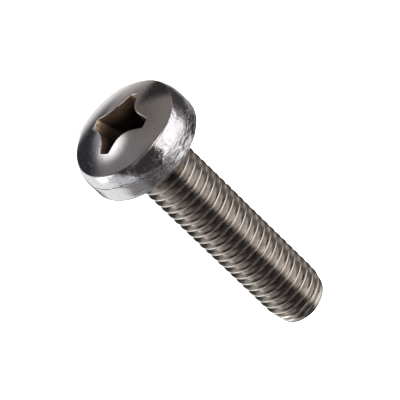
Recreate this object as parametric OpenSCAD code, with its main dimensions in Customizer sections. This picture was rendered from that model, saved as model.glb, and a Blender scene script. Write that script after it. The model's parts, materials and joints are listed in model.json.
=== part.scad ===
// Pan head machine screw, M6 x 1 x 25, with a type H cross recess.
// One cold headed and thread rolled piece of stainless steel. It lies on the plane
// z = 0, touching it with the rim of its head and the last full turn of its thread.

/* [Head] */
// Outside diameter of the head
head_d = 11.9; // [9:0.1:16]
// Height of the head above its bearing face
head_h = 4.6; // [3.6:0.1:6.5]
// Radius of the polished dome on top
dome_r = 14.3; // [11:0.1:24]
// Height at which the straight side starts to curve in
shoulder_z = 1.8; // [1.2:0.1:2.4]
// Radius of the curved shoulder between the side and the dome
shoulder_r = 3.3; // [1.5:0.1:4.4]
// Rounding of the lower outside edge
edge_r = 0.5; // [0.2:0.05:0.9]

/* [Cross recess] */
// Span of the recess from wing end to wing end, where it meets the dome
recess_span = 6.7; // [5:0.1:8.2]
// Width of each wing at its end
wing_w = 1; // [0.6:0.05:1.6]
// Angle by which each flank of a wing leans away from its centre line
wing_flare = 18; // [8:1:24]
// Radius of the rounded corner between two wings
corner_r = 2.2; // [0.8:0.1:2.6]
// Angle of the wing ends to the axis of the screw
wing_end_angle = 26.5; // [20:0.5:32]
// Diameter of the recess at the foot of the wings
foot_d = 3.8; // [2.4:0.1:4.4]
// Full angle of the cone at the bottom of the recess
point_angle = 140; // [110:1:160]
// Turn of the recess about the axis, as the screw lies
recess_turn = 29; // [0:1:89]

/* [Shank] */
// Major diameter of the thread
thread_d = 6; // [4:0.1:8]
// Length of the shank below the bearing face
shank_l = 25; // [12:1:40]
// Length over which the thread fades out at the end
tip_l = 1.6; // [0.6:0.1:3]
// How much narrower the flat end is than the thread
tip_narrowing = 0.8; // [0.4:0.1:2]
// Radius of the fillet under the head
neck_r = 0.25; // [0.1:0.05:0.5]

/* [Hidden] */
$fn = 96;
// How far a cutting shape reaches past the surface it cuts
past = 1;
// Radius of the flat that the blunt point of the punch leaves at the bottom
blunt_r = 0.3;
// How far the rounding between two wings stands into their flanks
corner_bite = 0.06;
// The recess is cut with its wings this far round from the start of the turned faces,
// so that the start lies in the middle between two wings
start_turn = 45;

head_r = head_d / 2;
thread_r = thread_d / 2;
tip_r = thread_r - tip_narrowing / 2;
mouth_r = recess_span / 2;
foot_r = foot_d / 2;

// Heights in the recess: its mouth at the wing ends, the foot of the wings, the bottom
mouth_z = head_h - dome_r + sqrt(dome_r * dome_r - mouth_r * mouth_r);
foot_z = mouth_z - (mouth_r - foot_r) / tan(wing_end_angle);
bottom_z = foot_z - (foot_r - blunt_r) / tan(point_angle / 2);

// The metal between two wings is rounded about (corner_mid, corner_mid). That circle
// stands a little way into the flanks, whose nearest points to its middle are
// (foot_far, foot_near) and (foot_near, foot_far).
flank_at_axis = wing_w / 2 + mouth_r * tan(wing_flare);
flank_off = corner_r - corner_bite;
corner_mid = (flank_at_axis + flank_off / cos(wing_flare)) / (1 + tan(wing_flare));
foot_far = corner_mid - flank_off * sin(wing_flare);
foot_near = corner_mid - flank_off * cos(wing_flare);

// The screw leans by the angle of the line that rests on its head's lower edge and on
// the end of its full thread. The origin is under the middle of its length.
crest_end = shank_l - tip_l;
reach = crest_end + edge_r;
drop = head_r - edge_r - thread_r;
lean = atan2(drop, reach) + asin(edge_r / norm([drop, reach]));
lift = thread_r * cos(lean) + crest_end * sin(lean);
front_x = dome_r + (head_h - dome_r) * cos(lean);
back_x = -shank_l * cos(lean) - tip_r * sin(lean);

// Half section of the head, from its axis outwards
module head_section() {
    intersection() {
        translate([0, head_h - dome_r]) circle(dome_r);
        square([head_r, head_h]);
        union() {
            square([head_r - edge_r, shoulder_z]);
            translate([0, edge_r]) square([head_r, shoulder_z - edge_r]);
            translate([head_r - edge_r, edge_r]) circle(edge_r);
            translate([0, shoulder_z]) shoulder_section();
        }
    }
}

// Upper part of that section, where the side curves in to the dome
module shoulder_section() {
    intersection() {
        square([head_r, head_h]);
        union() {
            square([head_r - shoulder_r, head_h]);
            translate([head_r - shoulder_r, 0]) circle(shoulder_r);
        }
    }
}

// Half section of the shank at its major diameter, with the tapered end
module shank_section() {
    polygon([
        [0, past], [thread_r, past], [thread_r, -crest_end], [tip_r, -shank_l], [0, -shank_l]
    ]);
    neck_section();
}

// Fillet between the shank and the bearing face
module neck_section() {
    translate([thread_r, -neck_r]) difference() {
        square([neck_r, neck_r + past]);
        translate([neck_r, 0]) circle(neck_r);
    }
}

// Outline of the recess seen along the axis: a star of four tapered wings, with the
// rounded metal between them cut out of it. The wings run past the mouth, where the
// wing ends cut them off.
module cross_outline() {
    wing_l = mouth_r + past;
    half_w = wing_w / 2 - past * tan(wing_flare);
    quarter = [
        [wing_l, half_w], [foot_far, foot_near], [corner_mid, corner_mid],
        [foot_near, foot_far], [half_w, wing_l]
    ];
    difference() {
        polygon([
            for (turn = [0:90:270], p = quarter)
                [p[0] * cos(turn) - p[1] * sin(turn), p[0] * sin(turn) + p[1] * cos(turn)]
        ]);
        for (turn = [0:90:270])
            rotate(turn) translate([corner_mid, corner_mid]) circle(corner_r);
    }
}

// Turned form of the recess: tapered wing ends above a blunt point
module recess_cone() {
    top_z = head_h + past;
    top_r = mouth_r + (top_z - mouth_z) * tan(wing_end_angle);
    rotate_extrude() polygon([
        [0, bottom_z], [blunt_r, bottom_z], [foot_r, foot_z], [top_r, top_z], [0, top_z]
    ]);
}

module cross_recess() {
    intersection() {
        recess_cone();
        translate([0, 0, bottom_z - past])
            linear_extrude(head_h - bottom_z + 3 * past)
            rotate(start_turn) cross_outline();
    }
}

// The screw standing on its end, with the middle of its bearing face at the origin
module upright_screw() {
    difference() {
        union() {
            rotate_extrude() head_section();
            rotate_extrude() shank_section();
        }
        cross_recess();
    }
}

module machine_screw() {
    color("#b9b2aa")
        translate([-(front_x + back_x) / 2, 0, lift])
        rotate([0, 90 - lean, 0])
        rotate(recess_turn - start_turn)
        upright_screw();
}

machine_screw();
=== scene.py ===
# %% [markdown]
# # A pan head machine screw in stainless steel
# The screw is cold headed and thread rolled from one length of wire, so it is one closed
# surface here too. It lies on the rim of its head and the end of its thread. The packed
# CAD model gives its place and main sizes. This notebook gives it its rolled thread, its
# punched cross recess and its four finishes.

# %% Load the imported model
import bpy
import json
import math
import numpy as np
from mathutils import Matrix


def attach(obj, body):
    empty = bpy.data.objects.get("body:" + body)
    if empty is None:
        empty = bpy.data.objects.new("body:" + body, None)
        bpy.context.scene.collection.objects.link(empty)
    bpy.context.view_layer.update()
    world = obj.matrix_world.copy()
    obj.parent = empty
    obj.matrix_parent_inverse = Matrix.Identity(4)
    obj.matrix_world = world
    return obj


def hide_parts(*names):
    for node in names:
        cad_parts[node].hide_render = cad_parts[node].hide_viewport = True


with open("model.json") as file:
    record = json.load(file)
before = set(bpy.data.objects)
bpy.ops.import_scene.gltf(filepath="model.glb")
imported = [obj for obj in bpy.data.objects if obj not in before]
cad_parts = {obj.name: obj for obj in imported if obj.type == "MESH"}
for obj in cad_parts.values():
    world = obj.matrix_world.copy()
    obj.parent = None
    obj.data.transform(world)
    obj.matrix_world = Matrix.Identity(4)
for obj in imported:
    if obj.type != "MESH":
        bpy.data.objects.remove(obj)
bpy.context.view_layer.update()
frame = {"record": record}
record = frame["record"]

# %% [markdown]
# ## Where the screw is
# A turned part is easiest to describe standing on its axis: a height above the bearing
# face, a distance from the axis and a turn about it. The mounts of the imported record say
# how that axis lies, so every point is worked out upright and then laid down once.

# %% The screw's own axes, from the mounts
MM = 0.001
mounts = {mount["name"]: mount for mount in record["mounts"]}
axis = np.array(mounts["cross_recess"]["axis"], float)
axis /= np.linalg.norm(axis)
shank_point = np.array(mounts["thread_shank"]["pos_m"], float)
face_point = np.array(mounts["bearing_face"]["pos_m"], float)
bearing_centre = shank_point + axis * np.dot(face_point - shank_point, axis)
across = np.array([0.0, 1.0, 0.0])
down = np.cross(across, axis)
print("bearing face at", bearing_centre, "axis", axis)


def lay_down(points):
    """Upright points in millimetres become places in metres.

    x is measured along down, y along across and z along the axis of the screw."""
    return bearing_centre + MM * (points @ np.array([down, across, axis]))


# %% [markdown]
# ## Sizes
# These are the sizes of an M6 x 1 x 25 screw, in millimetres, as in the CAD model. The
# thread has the 60 degree profile of every metric screw. Rolling leaves its crests a
# little round and its roots well rounded.

# %% Sizes of the shank
THREAD_R = mounts["thread_shank"]["dims"]["r_mm"]
PITCH = 1.0
# depth of a metric thread on a screw, as a share of its pitch
DEPTH_SHARE = 0.6134
THREAD_DEPTH = DEPTH_SHARE * PITCH
SHANK_L = 25.0
TIP_L = 1.6
TIP_NARROWING = 0.8
TIP_R = THREAD_R - TIP_NARROWING / 2
# the wire before rolling, half way up the thread that is pressed out of it
NECK_R = 2.68
NECK_FILLET = 0.3
print("shank", 2 * THREAD_R, "mm across, thread", round(THREAD_DEPTH, 3), "mm deep")

# %% [markdown]
# The head is a shallow dome on a curved shoulder, above a straight side. The recess is given
# by its span at the mouth, the width and lean of its wings and the round metal between them.

# %% Sizes of the head and its recess
HEAD_R = 5.95
HEAD_H = 4.6
DOME_R = 14.3
SHOULDER_Z = 1.8
SHOULDER_R = 3.3
EDGE_R = 0.5

MOUTH_R = 3.35
WING_W = 1.0
WING_FLARE = math.radians(18)
CORNER_R = 2.2
WING_END = math.radians(26.5)
FLANK_DRAFT = math.radians(4)
FOOT_R = 1.9
BLUNT_R = 0.3
POINT = math.radians(140)
RECESS_TURN = math.radians(29)
print("head", 2 * HEAD_R, "mm across, recess", 2 * MOUTH_R, "mm across")

# %% [markdown]
# ## The columns of the surface
# The whole skin is one grid. Its columns run along the screw and its rows run round it.
# The columns stand closer together where the corners of the recess wings are, because
# that is where the outline turns sharply. The same columns carry on down the thread.

# %% Turn of every column
COLUMNS = 192
CROWDING = 2.2
CROWD_WIDTH = math.radians(2.5)
FINE_STEPS = 7200


def turn_from_wing(turn):
    """Turn away from the middle of the nearest wing. The wings stand a quarter turn apart."""
    return np.abs((turn + math.pi / 4) % (math.pi / 2) - math.pi / 4)


def column_turns(count):
    """Turns in radians, one per column, densest near the corners of the wings.

    The density is 1 plus a bell curve at each wing corner, CROWDING high and CROWD_WIDTH
    wide. Its running total, scaled to one full turn, is read backwards at equal steps."""
    corner = math.atan2(WING_W / 2, MOUTH_R)
    fine = np.linspace(0.0, math.tau, FINE_STEPS + 1)
    density = 1.0 + CROWDING * np.exp(-((turn_from_wing(fine) - corner) / CROWD_WIDTH) ** 2)
    total = np.concatenate([[0.0], np.cumsum((density[1:] + density[:-1]) / 2)])
    return np.interp(np.arange(count) / count, total / total[-1], fine)


turns = column_turns(COLUMNS)
from_wing = turn_from_wing(turns)
print("columns stand", np.degrees(np.diff(turns)).min().round(2), "to",
      np.degrees(np.diff(turns)).max().round(2), "degrees apart")

# %% [markdown]
# ## The cross recess
# A punch with four tapered wings makes the recess. At any height its outline is a cross
# whose inner corners are large round arcs. Seen from the axis each direction meets that
# outline once, so one formula gives the distance from the axis for every direction and
# height. That is far simpler than cutting a block out of the head with a boolean, and it
# leaves clean rows of faces for the worn rim.

# %% Outline of the recess
WING_SOFT = 0.05
TRIES = 40


def dome_z(r):
    """Height of the dome: a ball of radius DOME_R whose top is HEAD_H high."""
    return HEAD_H - DOME_R + np.sqrt(DOME_R ** 2 - r ** 2)


mouth_z = float(dome_z(MOUTH_R))
foot_z = mouth_z - (MOUTH_R - FOOT_R) / math.tan(WING_END)
bottom_z = foot_z - (FOOT_R - BLUNT_R) / math.tan(POINT / 2)


def recess_r(angle, z):
    """Distance from the axis to the recess wall, angle away from a wing's middle.

    It is the nearest of two things. The wing end is a cone. The flank is a straight line
    that leans by WING_FLARE, and past its end it goes over into the round metal corner,
    a circle that touches it. Both move inwards with depth by the draft of the punch. Where
    end and flank meet, the nearest of the two is taken softly, over WING_SOFT."""
    depth = mouth_z - z
    end = MOUTH_R - depth * math.tan(WING_END)
    flank_at_axis = WING_W / 2 + MOUTH_R * math.tan(WING_FLARE) - depth * math.tan(FLANK_DRAFT)
    flank = flank_at_axis / (np.sin(angle) + np.cos(angle) * math.tan(WING_FLARE))
    middle = (flank_at_axis + CORNER_R / math.cos(WING_FLARE)) / (1 + math.tan(WING_FLARE))
    touch = np.arctan2(middle - CORNER_R * math.cos(WING_FLARE),
                       middle - CORNER_R * math.sin(WING_FLARE))
    half = middle * (np.sin(angle) + np.cos(angle))
    corner = half - np.sqrt(np.maximum(half ** 2 - 2 * middle ** 2 + CORNER_R ** 2, 0.0))
    side = np.where(angle > touch, corner, flank)
    return -WING_SOFT * np.logaddexp(-side / WING_SOFT, -end / WING_SOFT)


def settle(height_of, start):
    """Height at which the recess wall meets a surface, found by repeated substitution."""
    z = np.full(COLUMNS, start)
    for _ in range(TRIES):
        z = height_of(recess_r(from_wing, z))
    return z


wall_foot_z = settle(lambda r: bottom_z + (r - BLUNT_R) / math.tan(POINT / 2), foot_z)
wall_top_z = settle(dome_z, mouth_z)
print("recess depth", round(float(mouth_z - bottom_z), 2), "mm; metal corners reach to",
      recess_r(np.array([math.pi / 4]), mouth_z).round(2), "mm from the axis")

# %% [markdown]
# ## The head, row by row
# The rows start at the bottom of the recess, climb its walls, round its rim and go out
# over the dome, down the side and in under the head. Each row is a distance from the
# axis and a height for every column. Corners are small bends made as a curve with the
# corner itself as its control point, so they catch the light as a real edge does.

# %% Rows of the head
RIM_BEVEL = 0.1
WIDEST_BEVEL = 3 * RIM_BEVEL
CREASE_BEVEL = 0.08


def blend(a, b, share):
    """The value a share of the way from a to b."""
    return a + (b - a) * share


def bend(start, corner, end, count):
    """Rows on a quadratic curve that leaves start towards corner and arrives at end."""
    t = np.linspace(0, 1, count)[:, None, None]
    return (1 - t) ** 2 * start + 2 * t * (1 - t) * corner + t ** 2 * end


def arc(centre_r, centre_z, radius, first, last, count):
    """Rows on a circle in the half section, from one angle to another in degrees."""
    a = np.radians(np.linspace(first, last, count))
    points = np.stack([centre_r + radius * np.cos(a), centre_z + radius * np.sin(a)], axis=1)
    return np.repeat(points[:, :, None], COLUMNS, axis=2)


def ring(r, z):
    """One row: a distance from the axis and a height, each the same all round or one per
    column."""
    return np.stack([np.broadcast_to(r, COLUMNS), np.broadcast_to(z, COLUMNS)])[None]


def wall_rows(shares):
    """Rows on the recess wall, at shares of its height between foot and mouth."""
    z = blend(wall_foot_z, wall_top_z, shares[:, None])
    return np.stack([recess_r(from_wing, z), z], axis=1)


def crossing(height_of_shoulder):
    """Distance from the axis at which the dome and the shoulder meet, by halving."""
    low, high = HEAD_R - SHOULDER_R, HEAD_R
    for _ in range(TRIES):
        middle = (low + high) / 2
        if dome_z(middle) < height_of_shoulder(middle):
            low = middle
        else:
            high = middle
    return middle


shoulder_mid = HEAD_R - SHOULDER_R
crease_r = crossing(lambda r: SHOULDER_Z + math.sqrt(SHOULDER_R ** 2 - (r - shoulder_mid) ** 2))
crease_z = float(dome_z(crease_r))
crease_angle = math.degrees(math.atan2(crease_z - SHOULDER_Z, crease_r - shoulder_mid))
print("the dome ends at", round(crease_r, 2), "mm from the axis,", round(crease_z, 2), "mm up")

# %% [markdown]
# The rim of the recess has a bevel of even width. Where the outline runs aslant to the
# direction from the axis, the bevel's rows have to stand further apart, by the slope of the
# outline.

# %% Recess wall, rim and floor
wall = wall_rows(np.linspace(0, 1, 15))
foot = wall[:1]
mouth = wall[-1:]
three_turns = np.concatenate([turns - math.tau, turns, turns + math.tau])
slope = np.gradient(np.concatenate([mouth[0, 0]] * 3), three_turns)
slope = slope[COLUMNS:2 * COLUMNS] / mouth[0, 0]
bevel = np.minimum(RIM_BEVEL * np.sqrt(1 + slope ** 2), WIDEST_BEVEL)
rim_in = wall_rows(np.array([1 - RIM_BEVEL / (mouth_z - foot_z)]))
rim_out = ring(mouth[0, 0] + bevel, dome_z(mouth[0, 0] + bevel))

floor_shares = np.linspace(0, 1, 9)[:, None]
floor_rows = np.stack([blend(BLUNT_R, foot[0, 0], floor_shares),
                       blend(bottom_z, foot[0, 1], floor_shares)], axis=1)
print("rim bevel", bevel.min().round(2), "to", bevel.max().round(2), "mm wide")

# %% [markdown]
# Outside the rim everything is turned about the axis: the dome, the crease where it meets
# the shoulder, the straight side, the rounded lower edge and the flat under the head.
# A row stands close to each bend, so that the faces beyond it shade flat.

# %% Dome, side and underside
dome_shares = np.concatenate([[0.03], np.linspace(0.08, 0.94, 22), [0.985]])[:, None]
dome_r = blend(rim_out[0, 0], crease_r - CREASE_BEVEL, dome_shares)
dome_rows = np.stack([dome_r, dome_z(dome_r)], axis=1)
crease_in = ring(crease_r - CREASE_BEVEL, dome_z(crease_r - CREASE_BEVEL))
bevel_angle = math.degrees(CREASE_BEVEL / SHOULDER_R)
shoulder = arc(shoulder_mid, SHOULDER_Z, SHOULDER_R, crease_angle - bevel_angle, 0, 13)
crease = bend(crease_in, ring(crease_r, crease_z), shoulder[:1], 6)
side = np.concatenate([ring(HEAD_R, z) for z in (SHOULDER_Z - 0.1, 1.1, EDGE_R + 0.06)])
edge = arc(HEAD_R - EDGE_R, EDGE_R, EDGE_R, 0, -90, 9)
under_r = np.array([HEAD_R - EDGE_R - 0.08, 4.6, 3.8, NECK_R + NECK_FILLET + 0.06])
under = np.concatenate([ring(r, 0.0) for r in under_r])
neck = arc(NECK_R + NECK_FILLET, -NECK_FILLET, NECK_FILLET, 90, 180, 6)
print(len(dome_rows), "dome rows,", len(shoulder), "shoulder rows")

# %% [markdown]
# ## The rolled thread
# A thread is one groove wound round the shank. If the rows went straight round, they
# would cut across its crest in a saw edge. So each row climbs by one pitch in one turn,
# as the crest does, and where a row comes round to the first column again it joins the
# row one pitch further on. At both ends of the thread the climbing rows are cut off
# level, and what is beyond the cut is folded onto it and dropped.

# %% The thread's profile and rows
CREST_HALF = PITCH / 14
# shares of the pitch from the middle of a crest to the middle of a root
ROW_PHASES = np.array([0, 0.045, 0.07, 0.095, 0.24, 0.385, 0.42, 0.46, 0.5])
row_phases = np.concatenate([ROW_PHASES, 1 - ROW_PHASES[-2:0:-1]])
ROWS_PER_PITCH = len(row_phases)
THREAD_TOP = -0.55
RUN_OUT = 1.3
# where the crest starts, above THREAD_TOP, as a share of the pitch
CREST_SHIFT = 0.43
THREAD_SOFT = 0.03
TIP_SOFT = 0.04
FLANK = math.radians(30)


def thread_profile(phase):
    """Radius of the finished thread, with phase the place in the pitch from 0 to 1.

    From the crest at phase 0 the flank falls by 1 / tan 30 for each unit along the axis,
    down to the root. A softened clip rounds the crest and the root."""
    away = np.abs((phase + 0.5) % 1.0 - 0.5) * PITCH
    fall = (away - CREST_HALF) / math.tan(FLANK)
    past_crest = np.logaddexp(0, fall / THREAD_SOFT)
    past_root = np.logaddexp(0, (fall - THREAD_DEPTH) / THREAD_SOFT)
    return THREAD_R - THREAD_SOFT * (past_crest - past_root)


def thread_r(z, phase):
    """Radius of the shank: the profile, faded in below the neck and worn to a cone at
    the tip, where the wire was too short for the dies to fill the crest."""
    share = np.clip((THREAD_TOP - z) / RUN_OUT, 0, 1)
    share = share * share * (3 - 2 * share)
    radius = blend(NECK_R, thread_profile(phase), share)
    cone = THREAD_R - (THREAD_R - TIP_R) * (-(SHANK_L - TIP_L) - z) / TIP_L
    return -TIP_SOFT * np.logaddexp(-radius / TIP_SOFT, -cone / TIP_SOFT)


climb = turns / math.tau * PITCH
SPARE_TURNS = 3
level_count = int(math.ceil((SHANK_L + THREAD_TOP) / PITCH)) + SPARE_TURNS
levels = (np.arange(level_count)[:, None] + row_phases[None, :]).ravel() * PITCH
crest_start = THREAD_TOP + CREST_SHIFT * PITCH
raw_z = crest_start + climb[None, :] - levels[:, None]
thread_z = np.clip(raw_z, -SHANK_L, THREAD_TOP)
thread_phase = (thread_z - crest_start - climb[None, :]) / PITCH % 1.0
thread = np.stack([thread_r(thread_z, thread_phase), thread_z], axis=1)
print(len(thread), "thread rows,", ROWS_PER_PITCH, "to a pitch")

# %% [markdown]
# ## One closed skin
# The head's rows, the thread's rows and the end face are stacked into one grid. Faces
# join neighbouring rows and columns. Only the thread's rows shift by one pitch where the
# last column meets the first. The pole in the recess and the one on the end face are
# closed with fans of triangles, so the skin has no hole anywhere.

# %% Stack the rows
# radius of each row of the end face, as a share of the shank's end
END_SHARES = (0.985, 0.9, 0.55)
zones = []
rows = []
for zone, block in (("recess", floor_rows), ("recess", wall_rows(np.linspace(0.06, 0.93, 13))),
                    ("recess", rim_in), ("dome", bend(rim_in, mouth, rim_out, 6)[1:]),
                    ("dome", dome_rows), ("dome", crease), ("side", shoulder[1:]),
                    ("side", side), ("side", edge), ("side", under), ("thread", neck)):
    rows.append(block)
    zones += [zone] * len(block)
head_rows = np.concatenate(rows)
end_rows = np.concatenate([ring(thread[-1, 0] * share, -SHANK_L) for share in END_SHARES])

grid = np.concatenate([head_rows, thread, end_rows])
zones += ["thread"] * (len(thread) + len(end_rows))
first_thread = len(head_rows)
first_end = first_thread + len(thread)
upright = np.stack([grid[:, 0] * np.cos(turns + RECESS_TURN),
                    grid[:, 0] * np.sin(turns + RECESS_TURN), grid[:, 1]], axis=2)
print("grid of", grid.shape[0], "rows and", COLUMNS, "columns")

# %% [markdown]
# Every corner of the grid has a number. Beyond a cut a corner takes the number of the row at
# the cut, so the faces there shrink to nothing. One more column repeats the first one, and
# in the thread it does so one pitch further on.

# %% Number the corners
number = np.arange(grid.shape[0] * COLUMNS).reshape(-1, COLUMNS)
part = number[first_thread:first_end]
part[raw_z >= THREAD_TOP] = np.broadcast_to(part[0], part.shape)[raw_z >= THREAD_TOP]
part[raw_z <= -SHANK_L] = np.broadcast_to(part[-1], part.shape)[raw_z <= -SHANK_L]
wrap = number[:, :1].copy()
wrap[first_thread:first_thread + ROWS_PER_PITCH] = part[0, 0]
wrap[first_thread + ROWS_PER_PITCH:first_end] = part[:-ROWS_PER_PITCH, :1]
number = np.concatenate([number, wrap], axis=1)
print("corners numbered:", number.shape)

# %% [markdown]
# A face of the grid has four corners. Where rows were folded together at a cut, one side of
# the face has shrunk to a point and a triangle is left, or nothing at all. The two poles
# close the grid with a fan of triangles each.

# %% Faces and poles
poles = np.array([[0.0, 0.0, bottom_z], [0.0, 0.0, -SHANK_L]])
upright_all = np.concatenate([upright.reshape(-1, 3), poles])
bottom_pole, end_pole = len(upright_all) - 2, len(upright_all) - 1

around_face = (number[:-1, :-1], number[1:, :-1], number[1:, 1:], number[:-1, 1:])
quads = np.stack(around_face, axis=2).reshape(-1, 4)
face_zone = np.repeat(np.array(zones[1:]), COLUMNS)
left_open = quads[:, 0] != quads[:, 1]
right_open = quads[:, 2] != quads[:, 3]
whole = left_open & right_open
left_only = left_open & ~right_open
right_only = ~left_open & right_open
first_ring = np.stack([np.full(COLUMNS, bottom_pole), number[0, :-1], number[0, 1:]], axis=1)
last_ring = np.stack([number[-1, :-1], np.full(COLUMNS, end_pole), number[-1, 1:]], axis=1)
triangles = np.concatenate([quads[left_only][:, :3], quads[right_only][:, 1:],
                            first_ring, last_ring])
triangle_zone = np.concatenate([face_zone[left_only], face_zone[right_only],
                                np.full(COLUMNS, "recess"), np.full(COLUMNS, "thread")])
face_zones = np.concatenate([face_zone[whole], triangle_zone])
print(int(whole.sum()), "faces with four corners,", len(triangles), "triangles")

# %% [markdown]
# Only the corners that a face uses go into the mesh, numbered anew. Each one is laid down
# for its place, and also keeps its upright place in millimetres, which the finishes use for
# their patterns.

# %% The mesh
used = np.unique(np.concatenate([quads[whole].ravel(), triangles.ravel()]))
renumber = np.zeros(len(upright_all), int)
renumber[used] = np.arange(len(used))
faces = renumber[quads[whole]].tolist() + renumber[triangles].tolist()
mesh = bpy.data.meshes.new("screw_skin")
mesh.from_pydata(lay_down(upright_all)[used].tolist(), [], faces)
mesh.polygons.foreach_set("use_smooth", np.ones(len(faces), bool))
screw = bpy.data.objects.new("screw_skin", mesh)
bpy.context.scene.collection.objects.link(screw)
upright_mm = mesh.attributes.new("upright_mm", "FLOAT_VECTOR", "POINT")
upright_mm.data.foreach_set("vector", upright_all[used].ravel())
print(len(used), "vertices,", 2 * int(whole.sum()) + len(triangles), "triangles")

# %% [markdown]
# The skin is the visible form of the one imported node. It rides on the only body.

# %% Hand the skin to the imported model
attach(screw, "root")
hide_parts("machine_screw")

# %% [markdown]
# ## Finishes
# The whole screw is one steel, but each place was made by another tool and looks it. The
# dome was burnished by the die and tumbled bright. The side is the skin of the wire, with
# pits and scuffs. The punch left a dull brown recess. The thread was rolled, with oil stain
# in its grooves. Colours are given as sRGB hex, because that is how a colour is picked.
#
# Every pattern is laid out in millimetres on the upright screw, so the scale of a noise is
# 1 over the size of its blots.

# %% Colour and node helpers


def linear(code):
    """Turns an sRGB hex colour into linear values with alpha 1."""
    parts = [int(code[i:i + 2], 16) / 255 for i in (1, 3, 5)]
    return [p / 12.92 if p <= 0.04045 else ((p + 0.055) / 1.055) ** 2.4 for p in parts] + [1.0]


def plug(owner, node, inputs):
    """Sets a node's inputs, by name or as i0 by number, to values or to sockets."""
    for name, value in inputs.items():
        by_number = name[0] == "i" and name[1:].isdigit()
        socket = node.inputs[int(name[1:]) if by_number else name.replace("_", " ")]
        if isinstance(value, bpy.types.NodeSocket):
            owner.node_tree.links.new(value, socket)
        else:
            socket.default_value = value


def add(owner, kind, settings=None, **inputs):
    """Adds one node to a material or a world and returns its outputs."""
    node = owner.node_tree.nodes.new(kind)
    for name, value in (settings or {}).items():
        setattr(node, name, value)
    plug(owner, node, inputs)
    return node.outputs


def steel(name):
    """A metal material with its shader, and the upright place of each point in mm."""
    material = bpy.data.materials.new(name)
    material.use_nodes = True
    shader = material.node_tree.nodes["Principled BSDF"]
    shader.inputs["Metallic"].default_value = 1.0
    place = add(material, "ShaderNodeAttribute", {"attribute_name": "upright_mm"})
    return material, shader, place["Vector"]


print("mid grey #808080 is", round(linear("#808080")[0], 3), "of white in linear light")

# %% [markdown]
# ## Tumbled dome
# The punch presses the dome smooth and tumbling polishes it. What is left is a breath of
# heat tint that is warm in one place and cool in the next, and warmer towards one side of
# the head, and a few specks where grit hit it. The grit marks of real tumbling are finer
# than these specks, which are drawn as coarse as they need to be to show.

# %% Tint and specks of the dome
TINT_SIZE = 2.0
TINT_LEAN = -0.05
SPECK_SIZE = 0.222
dome_steel, shader, place = steel("tumbled_stainless_dome")
tint = add(dome_steel, "ShaderNodeTexNoise", Vector=place, Scale=1 / TINT_SIZE, Detail=5.0)["Fac"]
sides = add(dome_steel, "ShaderNodeSeparateXYZ", Vector=place)
tint = add(dome_steel, "ShaderNodeMath", {"operation": "MULTIPLY_ADD"}, i0=sides["Y"],
           i1=TINT_LEAN, i2=tint)[0]
tint = add(dome_steel, "ShaderNodeMapRange", Value=tint, From_Min=0.32, From_Max=0.68)["Result"]
grit = add(dome_steel, "ShaderNodeTexNoise", Vector=place, Scale=1 / SPECK_SIZE, Detail=4.0)["Fac"]
speck = add(dome_steel, "ShaderNodeMapRange", Value=grit, From_Min=0.64, From_Max=0.72)["Result"]
colour = add(dome_steel, "ShaderNodeMix", {"data_type": "RGBA"}, i0=tint,
             i6=linear("#c2c0c5"), i7=linear("#cbc5c1"))[2]
colour = add(dome_steel, "ShaderNodeMix", {"data_type": "RGBA"}, i0=speck, i6=colour,
             i7=linear("#8d8480"))[2]
print("tint blots of", TINT_SIZE, "mm and specks of", SPECK_SIZE, "mm on the dome")

# %% [markdown]
# A polished face is never quite true. A swell of a few micrometres is enough to make the
# edges of what it mirrors waver, and that is what tells the eye that it is metal.

# %% Swell and gloss of the dome
SWELL_SIZE = 1.11
SWELL_DEPTH = 0.006 * MM
SPECK_DEPTH = 0.006 * MM
rough = add(dome_steel, "ShaderNodeMapRange", Value=grit, To_Min=0.05, To_Max=0.2)["Result"]
swell = add(dome_steel, "ShaderNodeTexNoise", Vector=place, Scale=1 / SWELL_SIZE, Detail=2.0)["Fac"]
normal = add(dome_steel, "ShaderNodeBump", Height=swell, Strength=1.0,
             Distance=SWELL_DEPTH)["Normal"]
normal = add(dome_steel, "ShaderNodeBump", {"invert": True}, Height=speck, Strength=1.0,
             Distance=SPECK_DEPTH, Normal=normal)["Normal"]
plug(dome_steel, shader, {"Base_Color": colour, "Roughness": rough, "Normal": normal})
print(dome_steel.name, "has", len(dome_steel.node_tree.nodes), "nodes")

# %% [markdown]
# ## Headed side
# The head is struck between a punch and a die. The edge of the die leaves a fine broken
# line round the side. It runs out of level, higher on one side of the head than on the
# other, so its height follows the turn about the axis. It is only some hundredths of a
# millimetre deep, which is work for a bump and not for the mesh.

# %% Line left by the edge of the die
LINE_TURN = math.radians(80)
LINE_LOW, LINE_HIGH = 0.7, 1.85
LINE_UP = 0.17
LINE_HALF = 0.035
WAVER_SIZE = 0.625
BREAK_SIZE = 0.455
side_steel, shader, place = steel("headed_stainless_side")
height = add(side_steel, "ShaderNodeSeparateXYZ", Vector=place)["Z"]
facing = add(side_steel, "ShaderNodeVectorMath", {"operation": "DOT_PRODUCT"}, i0=place,
             i1=(math.cos(LINE_TURN) / HEAD_R, math.sin(LINE_TURN) / HEAD_R, 0.0))["Value"]
line_z = add(side_steel, "ShaderNodeMapRange", {"interpolation_type": "SMOOTHSTEP"}, Value=facing,
             From_Min=-0.15, From_Max=0.5, To_Min=LINE_LOW, To_Max=LINE_HIGH)["Result"]
waver = add(side_steel, "ShaderNodeTexNoise", Vector=place, Scale=1 / WAVER_SIZE, Detail=3.0)["Fac"]
line_z = add(side_steel, "ShaderNodeMath", {"operation": "MULTIPLY_ADD"}, i0=waver, i1=0.35,
             i2=line_z)[0]
above = add(side_steel, "ShaderNodeMath", {"operation": "SUBTRACT"}, i0=height, i1=line_z)[0]
near = add(side_steel, "ShaderNodeMath", {"operation": "COMPARE"}, i0=above, i1=LINE_UP,
           i2=LINE_HALF)[0]
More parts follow.
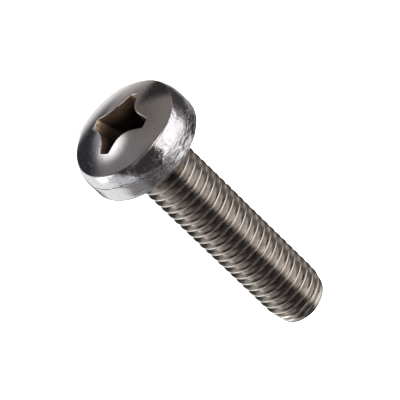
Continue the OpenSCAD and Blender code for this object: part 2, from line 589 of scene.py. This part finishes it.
gaps = add(side_steel, "ShaderNodeTexNoise", Vector=place, Scale=1 / BREAK_SIZE, Detail=2.0)["Fac"]
gaps = add(side_steel, "ShaderNodeMapRange", Value=gaps, From_Min=0.34, From_Max=0.42)["Result"]
line = add(side_steel, "ShaderNodeMath", {"operation": "MULTIPLY"}, i0=near, i1=gaps)[0]
print("the line is", 2 * LINE_HALF, "mm wide and climbs by", round(LINE_HIGH - LINE_LOW, 2), "mm")

# %% [markdown]
# Above that line the side was free to swell outwards when the head was struck, so it keeps
# the pitted skin of the wire. The pits lie flat, because the blow pressed them together
# along the axis. Below the line the die has ironed them nearly smooth, and near the dome
# only some patches of skin are left.

# %% Pitted skin
PATCH_SIZE = 2.22
PIT_SIZE = 0.357
PIT_FLATNESS = 2.2
skin = add(side_steel, "ShaderNodeMapRange", Value=above, From_Min=0.1, From_Max=0.35,
           To_Min=0.25)["Result"]
patch = add(side_steel, "ShaderNodeTexNoise", Vector=place, Scale=1 / PATCH_SIZE, Detail=2.0)["Fac"]
patch = add(side_steel, "ShaderNodeMapRange", Value=patch, From_Min=0.46, From_Max=0.58)["Result"]
low = add(side_steel, "ShaderNodeMapRange", Value=height, From_Min=2.5, From_Max=1.9)["Result"]
low = add(side_steel, "ShaderNodeMath", {"operation": "MAXIMUM"}, i0=low, i1=patch)[0]
skin = add(side_steel, "ShaderNodeMath", {"operation": "MULTIPLY"}, i0=skin, i1=low)[0]
drawn = add(side_steel, "ShaderNodeVectorMath", {"operation": "MULTIPLY"}, i0=place,
            i1=(1, 1, PIT_FLATNESS))[0]
pits = add(side_steel, "ShaderNodeTexNoise", Vector=drawn, Scale=1 / PIT_SIZE, Detail=3.0,
           Roughness=0.6)["Fac"]
pits = add(side_steel, "ShaderNodeMapRange", Value=pits, From_Min=0.36, From_Max=0.47)["Result"]
depth = add(side_steel, "ShaderNodeMath", {"operation": "MULTIPLY"}, i0=pits, i1=skin)[0]
stain = add(side_steel, "ShaderNodeMath", {"operation": "SUBTRACT"}, i0=1.0, i1=pits)[0]
stain = add(side_steel, "ShaderNodeMath", {"operation": "MULTIPLY"}, i0=stain, i1=skin)[0]
print("pits of", PIT_SIZE, "mm, in patches of", PATCH_SIZE, "mm")

# %% [markdown]
# On its way through the tumbler and the thread rolling the head has rubbed on others. The
# rubbing has left long dark scuffs round the lower side, on the half of the head that faces
# away from where the line stands high.

# %% Scuffs
SCUFF_SIZE = 0.909
SCUFF_FLATNESS = 5
long = add(side_steel, "ShaderNodeVectorMath", {"operation": "MULTIPLY"}, i0=place,
           i1=(1, 1, SCUFF_FLATNESS))[0]
scuffs = add(side_steel, "ShaderNodeTexNoise", Vector=long, Scale=1 / SCUFF_SIZE, Detail=4.0)["Fac"]
scuffs = add(side_steel, "ShaderNodeMapRange", Value=scuffs, From_Min=0.47, From_Max=0.58)["Result"]
rolled = add(side_steel, "ShaderNodeMapRange", Value=facing, From_Min=-0.15,
             From_Max=-0.5)["Result"]
scuffs = add(side_steel, "ShaderNodeMath", {"operation": "MULTIPLY"}, i0=scuffs, i1=rolled)[0]
rim = add(side_steel, "ShaderNodeMapRange", Value=height, From_Min=2.3, From_Max=1.5)["Result"]
scuffs = add(side_steel, "ShaderNodeMath", {"operation": "MULTIPLY"}, i0=scuffs, i1=rim)[0]
print("scuffs", SCUFF_SIZE, "mm long and", round(SCUFF_SIZE / SCUFF_FLATNESS, 2), "mm high")

# %% [markdown]
# The marks come together in the shader. The free side also has a ripple some hundredths of a
# millimetre deep, and it is much deeper than the pits, so the light boxes bend in it.

# %% Bumps, colours and gloss of the side
RIPPLE_SIZE = 1.11
RIPPLE_DEPTH = 0.045 * MM
PIT_DEPTH = 0.010 * MM
LINE_DEPTH = 0.02 * MM
ripple = add(side_steel, "ShaderNodeTexNoise", Vector=place, Scale=1 / RIPPLE_SIZE, Detail=3.0,
             Roughness=0.5)["Fac"]
normal = add(side_steel, "ShaderNodeBump", Height=ripple, Strength=1.0,
             Distance=RIPPLE_DEPTH)["Normal"]
normal = add(side_steel, "ShaderNodeBump", Height=depth, Strength=1.0, Distance=PIT_DEPTH,
             Normal=normal)["Normal"]
normal = add(side_steel, "ShaderNodeBump", {"invert": True}, Height=line, Strength=1.0,
             Distance=LINE_DEPTH, Normal=normal)["Normal"]
colour = add(side_steel, "ShaderNodeMix", {"data_type": "RGBA"}, i0=stain,
             i6=linear("#cac9cc"), i7=linear("#aca8ad"))[2]
colour = add(side_steel, "ShaderNodeMix", {"data_type": "RGBA"}, i0=scuffs, i6=colour,
             i7=linear("#67646a"))[2]
colour = add(side_steel, "ShaderNodeMix", {"data_type": "RGBA"}, i0=line, i6=colour,
             i7=linear("#454246"))[2]
rough = add(side_steel, "ShaderNodeMapRange", Value=stain, To_Min=0.1, To_Max=0.24)["Result"]
plug(side_steel, shader, {"Base_Color": colour, "Roughness": rough, "Normal": normal})
print(side_steel.name, "has", len(side_steel.node_tree.nodes), "nodes")

# %% [markdown]
# ## Punched recess
# The punch was oiled, and the recess was never polished. It is brown with dried oil. Its
# colour is painted darker the deeper it goes, as painted shade inside the recess. Drivers
# and other screws have rubbed the film off in places round the mouth, where the bare steel
# shines through, and that pale colour on the tops of the wing ends is partly a painted
# highlight.

# %% Film, painted shade and painted highlight of the recess
FILM_SIZE = 0.385
PAINTED_SHADE_DEPTH = 1.5
RUB_AND_HIGHLIGHT_FROM, RUB_AND_HIGHLIGHT_TO = 0.3, 0.05
recess_steel, shader, place = steel("punched_stainless_recess")
height = add(recess_steel, "ShaderNodeSeparateXYZ", Vector=place)["Z"]
# Painted shade: the colour darkens with depth below the mouth of the recess.
painted_shade_fade = add(recess_steel, "ShaderNodeMapRange", {"interpolation_type": "SMOOTHSTEP"},
              Value=height, From_Min=mouth_z - PAINTED_SHADE_DEPTH, From_Max=mouth_z)["Result"]
film = add(recess_steel, "ShaderNodeTexNoise", Vector=place, Scale=1 / FILM_SIZE, Detail=5.0)["Fac"]
film = add(recess_steel, "ShaderNodeMapRange", Value=film, From_Min=0.4, From_Max=0.6,
           To_Min=0.15)["Result"]
flat = add(recess_steel, "ShaderNodeVectorMath", {"operation": "MULTIPLY"}, i0=place,
           i1=(1, 1, 0))[0]
radius = add(recess_steel, "ShaderNodeVectorMath", {"operation": "LENGTH"}, i0=flat)["Value"]
# Rubbed film and painted highlight: lighter near the mouth, which is at the tops of the wing ends.
rub_and_highlight = add(recess_steel, "ShaderNodeMapRange", Value=radius, From_Min=MOUTH_R - RUB_AND_HIGHLIGHT_FROM,
             From_Max=MOUTH_R - RUB_AND_HIGHLIGHT_TO)["Result"]
rub_and_highlight = add(recess_steel, "ShaderNodeMath", {"operation": "MULTIPLY"}, i0=film, i1=rub_and_highlight)[0]
print("film dark below", round(mouth_z - PAINTED_SHADE_DEPTH, 2), "mm, blots of", FILM_SIZE, "mm")

# %% [markdown]
# A film of dried oil isn't metal, so this steel is a little less metallic than the others
# and much duller.

# %% Colour and gloss of the recess
FILM_DEPTH = 0.03 * MM
# The deep colour is painted shade inside the recess.
colour = add(recess_steel, "ShaderNodeMix", {"data_type": "RGBA"}, i0=painted_shade_fade,
             i6=linear("#2b231d"), i7=linear("#74604f"))[2]
# The pale colour is bare steel where the film is rubbed off, and partly a painted highlight.
colour = add(recess_steel, "ShaderNodeMix", {"data_type": "RGBA"}, i0=rub_and_highlight, i6=colour,
             i7=linear("#cdb898"))[2]
normal = add(recess_steel, "ShaderNodeBump", Height=film, Strength=1.0,
             Distance=FILM_DEPTH)["Normal"]
plug(recess_steel, shader, {"Base_Color": colour, "Metallic": 0.9, "Roughness": 0.42,
                            "Normal": normal})
print(recess_steel.name, "has", len(recess_steel.node_tree.nodes), "nodes")

# %% [markdown]
# ## Rolled thread
# Rolling dies press the thread in and slide a little as they do, so it has fine streaks
# along its turns. A noise whose third coordinate changes quickly with the distance from
# the axis gives them. Real ones are a few micrometres wide, and these are drawn as coarse
# as they need to be to show.

# %% Streaks of the thread
STREAK_SIZE = 1.25
ACROSS_FLANK = 18.0
ALONG_AXIS = 1.5
thread_steel, shader, place = steel("rolled_stainless_thread")
sides = add(thread_steel, "ShaderNodeSeparateXYZ", Vector=place)
flat = add(thread_steel, "ShaderNodeVectorMath", {"operation": "MULTIPLY"}, i0=place,
           i1=(1, 1, 0))[0]
radius = add(thread_steel, "ShaderNodeVectorMath", {"operation": "LENGTH"}, i0=flat)["Value"]
streak_r = add(thread_steel, "ShaderNodeMath", {"operation": "MULTIPLY"}, i0=radius,
               i1=ACROSS_FLANK)[0]
streak_z = add(thread_steel, "ShaderNodeMath", {"operation": "MULTIPLY_ADD"}, i0=sides["Z"],
               i1=ALONG_AXIS, i2=streak_r)[0]
along = add(thread_steel, "ShaderNodeCombineXYZ", X=sides["X"], Y=sides["Y"], Z=streak_z)[0]
streaks = add(thread_steel, "ShaderNodeTexNoise", Vector=along, Scale=1 / STREAK_SIZE,
              Detail=3.0)["Fac"]
print("streaks", round(STREAK_SIZE / ACROSS_FLANK, 3), "mm apart on the flanks")

# %% [markdown]
# The crest is rubbed bright and the groove keeps a brown film of rolling oil. The turns
# next to the head are painted darker as well, as painted shadow of the head.

# %% Oil, painted head shadow, colour and gloss of the thread
OIL_SIZE = 0.909
HEAD_SHADOW_FROM, HEAD_SHADOW_TO = -3.5, -0.5
STREAK_DEPTH = 0.006 * MM
groove = add(thread_steel, "ShaderNodeMapRange", Value=radius, From_Min=THREAD_R - 0.02,
             From_Max=THREAD_R - THREAD_DEPTH)["Result"]
film = add(thread_steel, "ShaderNodeTexNoise", Vector=place, Scale=1 / OIL_SIZE, Detail=4.0)["Fac"]
film = add(thread_steel, "ShaderNodeMapRange", Value=film, From_Min=0.3, From_Max=0.7,
           To_Min=0.35)["Result"]
oil_and_head_shadow = add(thread_steel, "ShaderNodeMath", {"operation": "MULTIPLY"}, i0=groove, i1=film)[0]
# Painted shadow of the head: the colour darkens over the turns just under it.
corner = add(thread_steel, "ShaderNodeMapRange", Value=sides["Z"], From_Min=HEAD_SHADOW_FROM,
             From_Max=HEAD_SHADOW_TO, To_Max=0.85)["Result"]
oil_and_head_shadow = add(thread_steel, "ShaderNodeMath", {"operation": "ADD"}, i0=oil_and_head_shadow, i1=corner)[0]
# The darker colour stands for the oil in the groove and for the painted head shadow.
colour = add(thread_steel, "ShaderNodeMix", {"data_type": "RGBA"}, i0=oil_and_head_shadow,
             i6=linear("#c8c2bd"), i7=linear("#857a73"))[2]
rough = add(thread_steel, "ShaderNodeMapRange", Value=streaks, From_Min=0.3, From_Max=0.7,
            To_Min=0.12, To_Max=0.26)["Result"]
normal = add(thread_steel, "ShaderNodeBump", Height=streaks, Strength=1.0,
             Distance=STREAK_DEPTH)["Normal"]
plug(thread_steel, shader, {"Base_Color": colour, "Roughness": rough, "Normal": normal})
print(thread_steel.name, "has", len(thread_steel.node_tree.nodes), "nodes")

# %% [markdown]
# Each face knows from its row which tool made it. The four finishes become the slots of the
# one mesh, so they meet along the same edges as on the real screw.

# %% Hand the finishes to the skin
finishes = {"dome": dome_steel, "side": side_steel, "recess": recess_steel, "thread": thread_steel}
for finish in finishes.values():
    mesh.materials.append(finish)
slots = {zone: index for index, zone in enumerate(finishes)}
mesh.polygons.foreach_set("material_index", np.array([slots[z] for z in face_zones]))
print("finishes:", ", ".join(finish.name for finish in finishes.values()))

# %% [markdown]
# ## Floor
# The screw lies on matt white paper. It is one plain square, so large that its edge stays
# far from the screw.

# %% Floor
FLOOR_HALF = 1.5
floor_mesh = bpy.data.meshes.new("studio_floor")
floor_mesh.from_pydata([(-FLOOR_HALF, -FLOOR_HALF, 0), (FLOOR_HALF, -FLOOR_HALF, 0),
                        (FLOOR_HALF, FLOOR_HALF, 0), (-FLOOR_HALF, FLOOR_HALF, 0)],
                       [], [(0, 1, 2, 3)])
floor = bpy.data.objects.new("studio_floor", floor_mesh)
bpy.context.scene.collection.objects.link(floor)
floor_paint = bpy.data.materials.new("matt_white_paper")
floor_paint.use_nodes = True
plug(floor_paint, floor_paint.node_tree.nodes["Principled BSDF"],
     {"Base_Color": linear("#f4f4f2"), "Roughness": 0.9})
floor_mesh.materials.append(floor_paint)
print("floor", 2 * FLOOR_HALF, "metres across")

# %% [markdown]
# ## Camera
# A long lens from far off keeps the round head round. The camera looks down on the screw
# from its head end and is rolled, so that the screw runs from top left to bottom right. Its
# own place is set from the bearing face: back along the view, and a little to the right
# and down.

# %% Camera
VIEW_TO_AXIS = math.radians(55.1)
HEAD_POINTS = math.radians(136.0)
DISTANCE = 0.2843
ASIDE = (0.00489, -0.004575)
SENSOR_MM = 36.0
LENS_MM = 278.0
lean = math.atan2(axis[2], axis[0])
elevation = lean + VIEW_TO_AXIS
back = np.array([math.cos(elevation), 0.0, math.sin(elevation)])
along = np.array([math.sin(elevation), 0.0, -math.cos(elevation)])
right = math.cos(HEAD_POINTS) * along - math.sin(HEAD_POINTS) * across
above = math.sin(HEAD_POINTS) * along + math.cos(HEAD_POINTS) * across
spot = bearing_centre + back * DISTANCE + right * ASIDE[0] + above * ASIDE[1]
lens = bpy.data.cameras.new("camera")
lens.sensor_width = SENSOR_MM
lens.lens = LENS_MM
lens.clip_start = 0.01
camera = bpy.data.objects.new("camera", lens)
camera.matrix_world = Matrix([[right[i], above[i], back[i], spot[i]] for i in range(3)]
                             + [[0, 0, 0, 1]])
bpy.context.scene.collection.objects.link(camera)
bpy.context.scene.camera = camera
print("camera", round(math.degrees(elevation), 1), "degrees above the floor")

# %% [markdown]
# ## The studio
# Polished steel shows little but what it mirrors, so the studio counts for as much as the
# finish. The head looks forward and down, and it mirrors the soft boxes and black cards
# low in front of the screw. They are drawn into the world as cards on a chart of
# directions. The chart's middle is the direction that the flat of the head mirrors, and a
# place on it is an angle in degrees away from there. The floor stays out of the mirroring
# and the camera sees a plain pale backdrop, as it would in a light tent.

# %% Chart of directions
mirrored = 2 * np.dot(back, axis) * axis - back
aside = -across
over = np.cross(aside, mirrored)
over *= math.copysign(1.0, float(np.dot(over, axis)))

# the sine is kept above this, because it is nought at the middle of the chart
SMALLEST_SINE = 0.001
world = bpy.data.worlds.new("studio")
world.use_nodes = True
seen = add(world, "ShaderNodeTexCoord")["Generated"]
shares = [add(world, "ShaderNodeVectorMath", {"operation": "DOT_PRODUCT"}, i0=seen,
              i1=tuple(direction))["Value"] for direction in (aside, over, mirrored)]
away = add(world, "ShaderNodeMath", {"operation": "ARCCOSINE"}, i0=shares[2])[0]
sine = add(world, "ShaderNodeMath", {"operation": "SINE"}, i0=away)[0]
sine = add(world, "ShaderNodeMath", {"operation": "MAXIMUM"}, i0=sine, i1=SMALLEST_SINE)[0]
stretch = add(world, "ShaderNodeMath", {"operation": "DIVIDE"}, i0=away, i1=sine)[0]
stretch = add(world, "ShaderNodeMath", {"operation": "DEGREES"}, i0=stretch)[0]
flat = add(world, "ShaderNodeCombineXYZ", X=shares[0], Y=shares[1])[0]
chart = add(world, "ShaderNodeVectorMath", {"operation": "SCALE"}, i0=flat, Scale=stretch)[0]
print("middle of the chart:", mirrored.round(2))

# %% [markdown]
# Each card has a place on the chart, half its width and height, a tilt, the softness of its
# edge as a share of its size, a colour and a strength. Later cards lie over earlier ones.

# %% Cards and soft boxes
ROOM = "#8f8b8a"
CARDS = [
    # name, round, place, half size, tilt, softness, colour, strength
    ("pale tent over", False, (58, 90), (24, 30), 0, 0.25, "#f2ede8", 1.7),
    ("white tent over", False, (112, 58), (34, 50), 0, 0.15, "#f4f3f2", 1.9),
    ("white tent aside", False, (130, -10), (27, 36), 0, 0.3, "#f4f3f2", 1.7),
    ("pale wall low", False, (75, -102), (60, 36), 0, 0.3, "#f0ece8", 1.0),
    ("dark room behind", False, (-88, 122), (108, 76), 0, 0.1, "#413d3d", 1.0),
    ("white slot behind", False, (-20, 92), (42, 9), 0, 0.3, "#f6f4f0", 0.5),
    ("dark room over", False, (24, 162), (64, 36), 0, 0.25, "#3c3837", 1.0),
    ("grey wall aside", False, (-98, 8), (37, 30), 0, 0.4, "#c8c8ca", 1.3),
    ("white wall low aside", False, (-57, -46), (46, 36), 0, 0.35, "#f6f6f4", 1.3),
    ("dark far aside", False, (-160, -17), (19, 30), 0, 0.5, "#545254", 1.0),
    ("dark floor aside", False, (60, -31), (28, 34), 0, 0.35, "#4c494d", 1.0),
    ("white table below", False, (0, -68), (26, 36), 0, 0.5, "#f2f1ef", 1.25),
    ("shade behind", True, (-10, -78), (34, 19), 0, 0.5, "#565557", 1.0),
    ("dark under", False, (-14, -142), (56, 34), 0, 0.3, "#4a484a", 1.0),
    ("brown shade over", False, (22, 62), (27, 19), 0, 0.15, "#332d2a", 1.0),
    ("brown shade aside", True, (46, 22), (10, 26), 0, 0.4, "#6e6761", 1.0),
    ("grey strip far", True, (48, 14), (5, 9), 0, 0.5, "#e0dcd8", 1.0),
    ("white strip aside", True, (-76, 4), (10, 26), 0, 0.4, "#f6f4f0", 3.0),
    ("grey strip aside", True, (-48, 12), (10, 18), 0, 0.6, "#f6f4f0", 0.6),
    ("black strip aside", False, (-36, -15), (6, 17), 24, 0.25, "#2c2c2e", 1.0),
    ("dark corner", True, (-38, 42), (11, 14), -40, 0.4, "#2b292a", 1.0),
    ("warm lamp", True, (14.5, 57), (10.5, 8), -25, 0.55, "#f6eee2", 4.6),
    ("dim patch over", True, (9, 12), (9, 15), 0, 0.9, "#757170", 1.0),
    ("black card left", False, (-19.5, -15.5), (11, 25.5), 36, 0.4, "#38383d", 1.0),
    ("black card right", False, (24, -15), (8, 18), 16, 0.3, "#353436", 1.0),
    ("small lamp", True, (-10.5, 11.5), (6.8, 9.4), 0, 0.7, "#fffcf8", 2.3),
]
print(len(CARDS), "cards round the screw")

# %% [markdown]
# A card covers the chart where the distance from its middle, in its own half sizes, is
# under 1. For a round card that is the length of the place on it, and for a square one the
# larger of its two sides.

# %% Draw the cards over the room
sky = linear(ROOM)
for name, rounded, centre, half_size, tilt, softness, colour, strength in CARDS:
    local = add(world, "ShaderNodeMapping", {"vector_type": "TEXTURE", "label": name}, Vector=chart,
                Location=(*centre, 0), Rotation=(0, 0, math.radians(tilt)), Scale=(*half_size, 1))[0]
    if rounded:
        off = add(world, "ShaderNodeVectorMath", {"operation": "LENGTH"}, i0=local)["Value"]
    else:
        sizes = add(world, "ShaderNodeVectorMath", {"operation": "ABSOLUTE"}, i0=local)[0]
        sizes = add(world, "ShaderNodeSeparateXYZ", Vector=sizes)
        off = add(world, "ShaderNodeMath", {"operation": "MAXIMUM"}, i0=sizes["X"], i1=sizes["Y"])[0]
    cover = add(world, "ShaderNodeMapRange", {"interpolation_type": "SMOOTHSTEP"}, Value=off,
                From_Min=1 + softness, From_Max=1 - softness)["Result"]
    lit = [channel * strength for channel in linear(colour)[:3]] + [1.0]
    sky = add(world, "ShaderNodeMix", {"data_type": "RGBA"}, i0=cover, i6=sky, i7=lit)[2]
print("world has", len(world.node_tree.nodes), "nodes")

# %% [markdown]
# The camera looks past the screw at the floor, and past the floor at this pale backdrop. It
# is there for the camera alone and lights nothing.

# %% Backdrop
to_camera = add(world, "ShaderNodeLightPath")["Is Camera Ray"]
shown = add(world, "ShaderNodeMix", {"data_type": "RGBA"}, i0=to_camera, i6=sky,
            i7=linear("#fcfcfb"))[2]
plug(world, world.node_tree.nodes["Background"], {"Color": shown})
bpy.context.scene.world = world
print("backdrop behind", len(CARDS), "cards")

# %% [markdown]
# The floor gets its own large soft light from straight above, which keeps it white and
# gives the screw a soft shadow. The steel doesn't mirror this panel or the floor, because
# the cards already stand for them.

# %% Soft light for the floor
FLOOR_WATTS = 60.0
PANEL_SIZE = 1.2
PANEL_HEIGHT = 1.0
floor.visible_glossy = False
panel = bpy.data.lights.new("ceiling_panel", "AREA")
panel.shape = "SQUARE"
panel.size = PANEL_SIZE
panel.energy = FLOOR_WATTS
ceiling = bpy.data.objects.new("ceiling_panel", panel)
ceiling.location = (0, 0, PANEL_HEIGHT)
ceiling.visible_glossy = False
ceiling.visible_camera = False
bpy.context.scene.collection.objects.link(ceiling)
bpy.context.scene.view_settings.view_transform = "Standard"
print("panel of", PANEL_SIZE, "metres,", PANEL_HEIGHT, "metres up")
